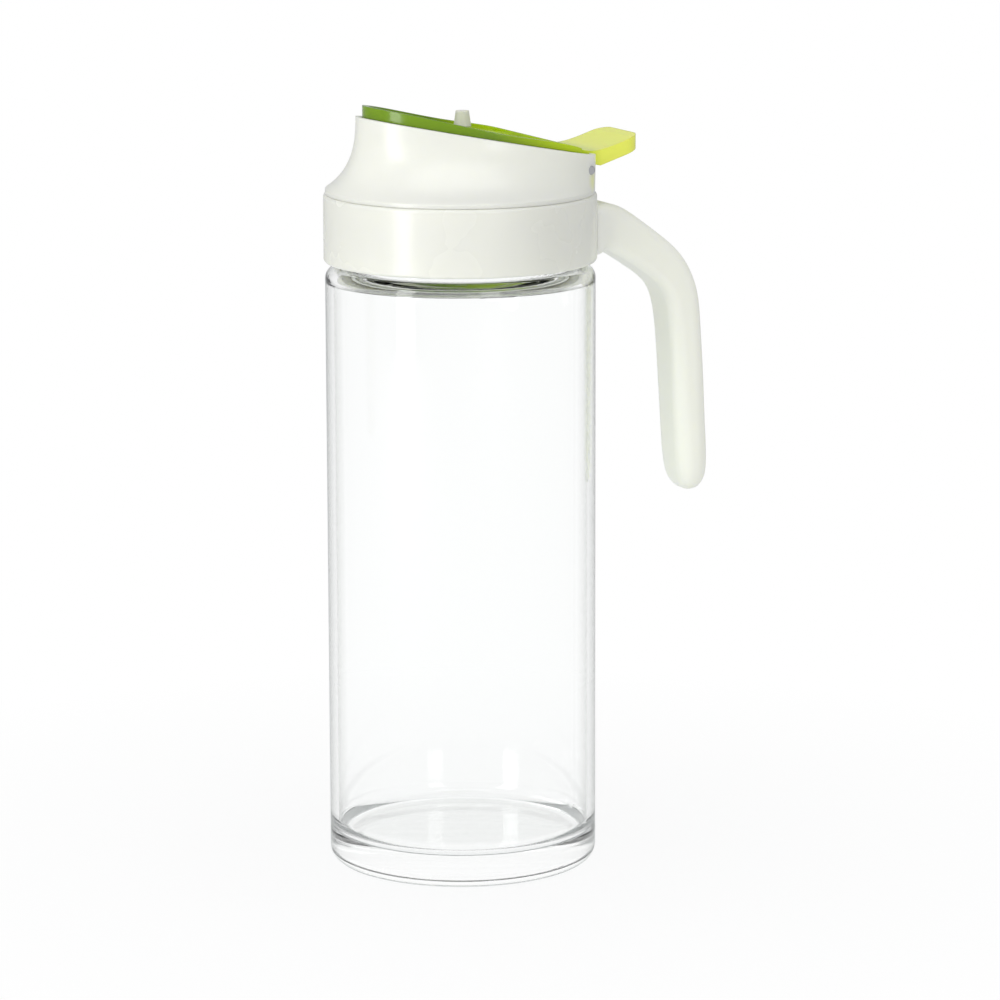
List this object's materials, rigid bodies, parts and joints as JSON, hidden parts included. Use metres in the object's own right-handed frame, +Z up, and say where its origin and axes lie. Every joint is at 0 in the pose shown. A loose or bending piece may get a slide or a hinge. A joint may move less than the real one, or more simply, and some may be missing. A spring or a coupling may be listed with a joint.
{
  "type": "glass pitcher",
  "caption": "Cylindrical glass pitcher with a pale screw-on pouring head, a side handle and a green flip lid worked by a thumb lever.",
  "frame": {"origin": "centre of the glass base on the table", "axes": "+Z up along the glass, +X to the handle, -X to the pouring nose"},
  "size_m": [0.1428, 0.096, 0.2718],
  "materials": {
    "glass": "clear",
    "silicone": "satin",
    "pale_plastic": "satin",
    "steel": "satin",
    "green_plastic": "gloss"
  },
  "bodies": {
    "jug": {"glass_jug": "glass"},
    "sealing": {"neck_seal": "silicone"},
    "head": {"collar": "pale_plastic", "handle": "pale_plastic", "pour_head": "pale_plastic", "hinge_pin": "steel"},
    "lid": {"flip_lid": "green_plastic", "lid_seal": "silicone", "vent_plug": "silicone"}
  },
  "joints": [
    {"name": "head_lift", "type": "slide", "parent": "jug", "child": "sealing", "axis": [0, 0, 1], "range_m": [0, 0.009]},
    {"name": "head_turn", "type": "hinge", "parent": "sealing", "child": "head", "pos_m": [0, 0, 0.228], "axis": [0, 0, 1], "range_deg": [0, 270]},
    {"name": "lid_flip", "type": "hinge", "parent": "head", "child": "lid", "pos_m": [0.037, 0, 0.2487], "axis": [0, 1, 0], "range_deg": [0, 35]}
  ],
  "couplings": [
    {"joint": "head_lift", "follows": "head_turn", "m_per_rad": 0.0019099}
  ]
}
